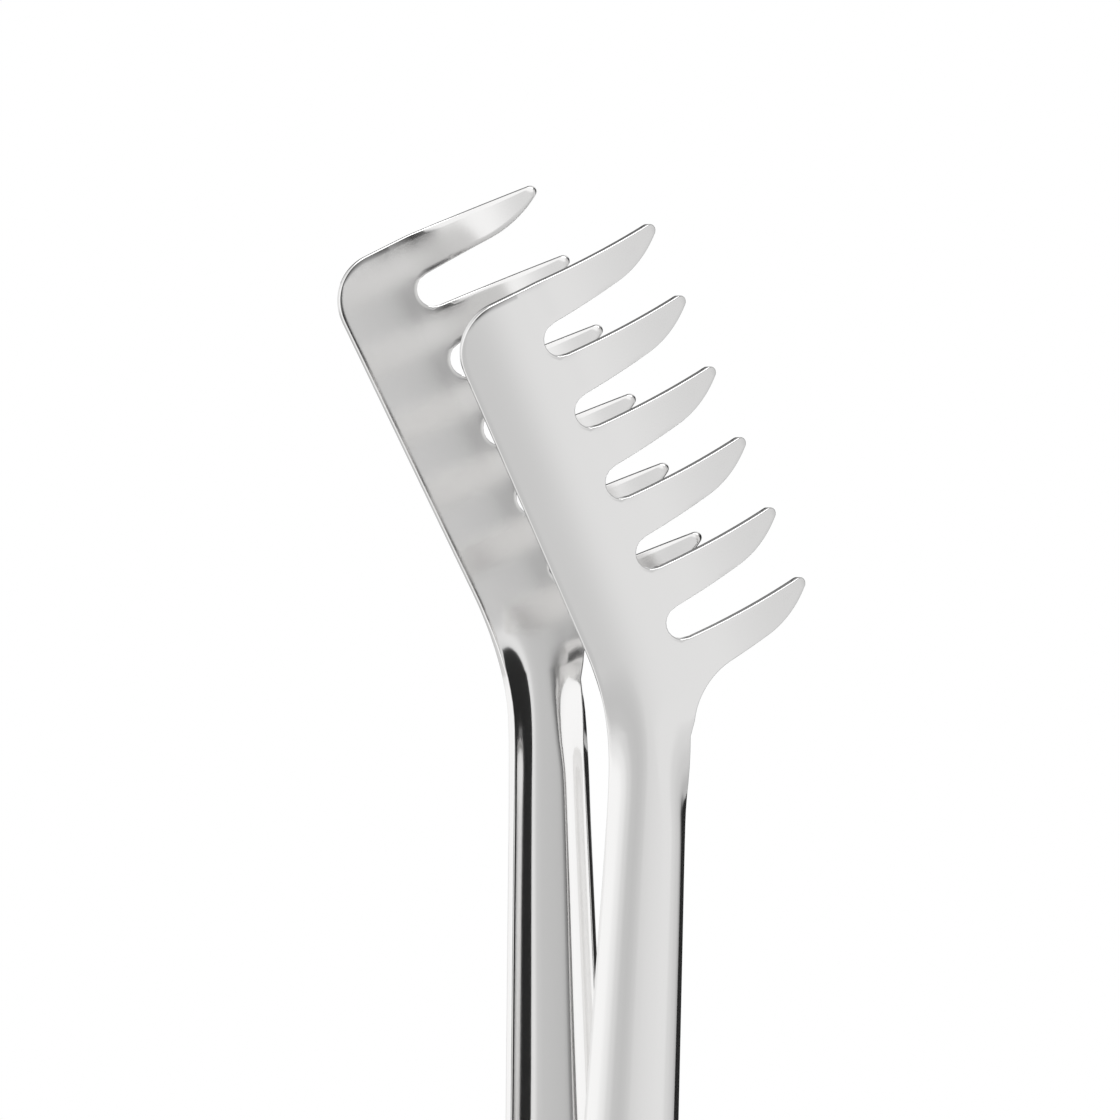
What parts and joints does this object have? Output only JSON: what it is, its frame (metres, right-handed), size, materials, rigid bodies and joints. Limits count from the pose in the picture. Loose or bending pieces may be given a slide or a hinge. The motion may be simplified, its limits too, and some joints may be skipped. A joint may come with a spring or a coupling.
{
  "type": "serving tongs",
  "caption": "Sprung steel tongs whose two arms end in leaning comb-shaped heads with curled tines, joined by a riveted hinge with a pull-out lock and hanging eye.",
  "frame": {"origin": "centre of the hanging eye, with the lock pushed in", "axes": "+Z from the hanging eye up to the comb heads, +X to the side the tines point to, -Y through the near arm; the tongs stand open"},
  "size_m": [0.0518, 0.0742, 0.3031],
  "materials": {
    "arm_steel": "mirror-polished stainless sheet with fine wipe marks",
    "pin_steel": "turned and formed stainless wire",
    "washer_steel": "stamped stainless",
    "spring_steel": "drawn spring wire",
    "slide_steel": "tumbled stainless strip"
  },
  "bodies": {
    "far_arm": {"far_arm": "arm_steel", "hinge_pin": "pin_steel", "hinge_bush": "pin_steel", "hinge_washer_left": "washer_steel", "hinge_washer_right": "washer_steel", "opening_spring": "spring_steel"},
    "near_arm": {"near_arm": "arm_steel"},
    "lock": {"lock_slide": "slide_steel", "lock_pin": "pin_steel"}
  },
  "joints": [
    {"name": "arm_hinge", "type": "hinge", "parent": "far_arm", "child": "near_arm", "pos_m": [0, 0, 0.027], "axis": [-1, 0, 0], "range_deg": [0, 13], "stiffness_Nm_per_rad": 0.35, "springref_deg": -20.05, "deforming": ["opening_spring"]},
    {"name": "lock_travel", "type": "slide", "parent": "far_arm", "child": "lock", "axis": [0, 0, -1], "range_m": [0, 0.005]}
  ]
}
